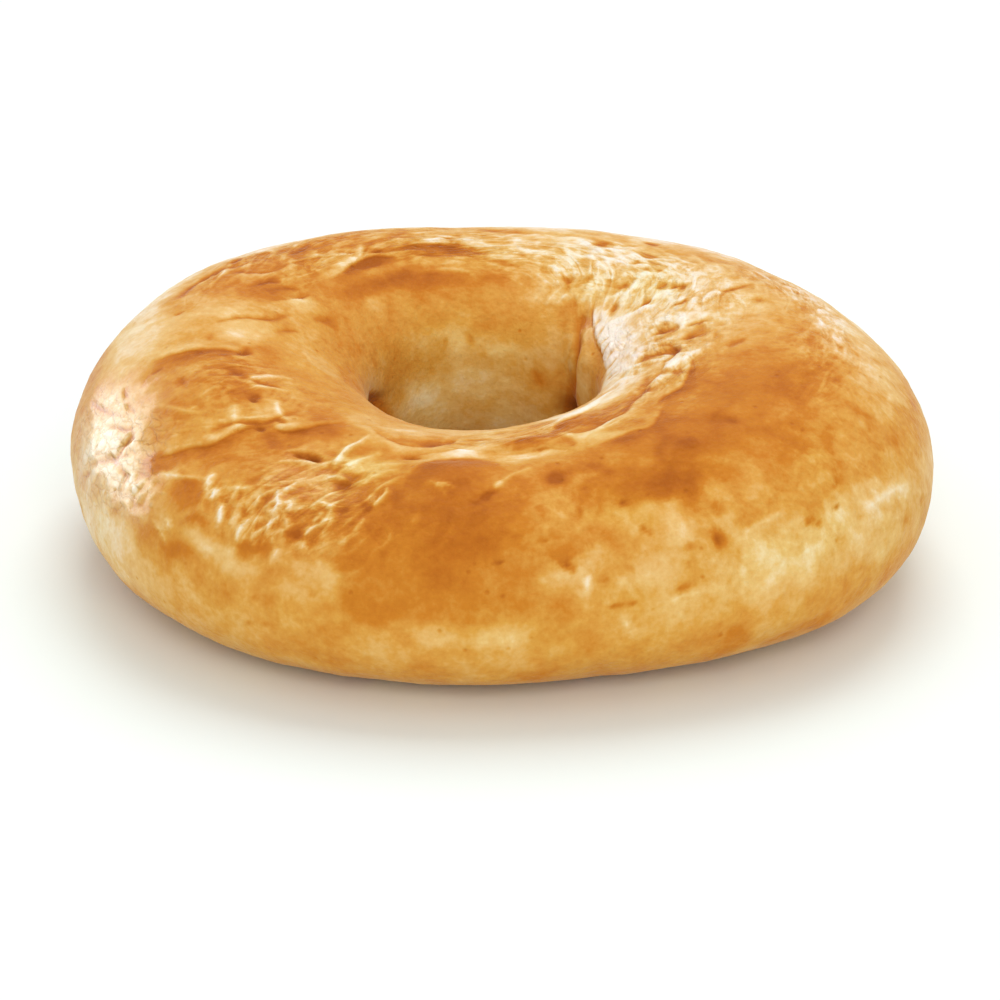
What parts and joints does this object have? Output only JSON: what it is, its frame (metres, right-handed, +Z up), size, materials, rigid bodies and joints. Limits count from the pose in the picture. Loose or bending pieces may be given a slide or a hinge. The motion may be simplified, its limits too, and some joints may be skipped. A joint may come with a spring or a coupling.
{
  "type": "bagel",
  "caption": "Plain baked bagel: an uneven ring of golden, wrinkled bread with a hole through it, resting on its flat base.",
  "frame": {"origin": "under the middle of the bagel, on the flat base that it rests on", "axes": "+Z up through the hole; +X across the front, towards the fatter side; -Y towards the side that is seen from the front"},
  "size_m": [0.112, 0.107, 0.0327],
  "materials": {
    "crust": "golden baked crust, satin with glossy patches, pale creases and orange-brown humps"
  },
  "bodies": {
    "root": {"bagel": "crust"}
  },
  "joints": []
}
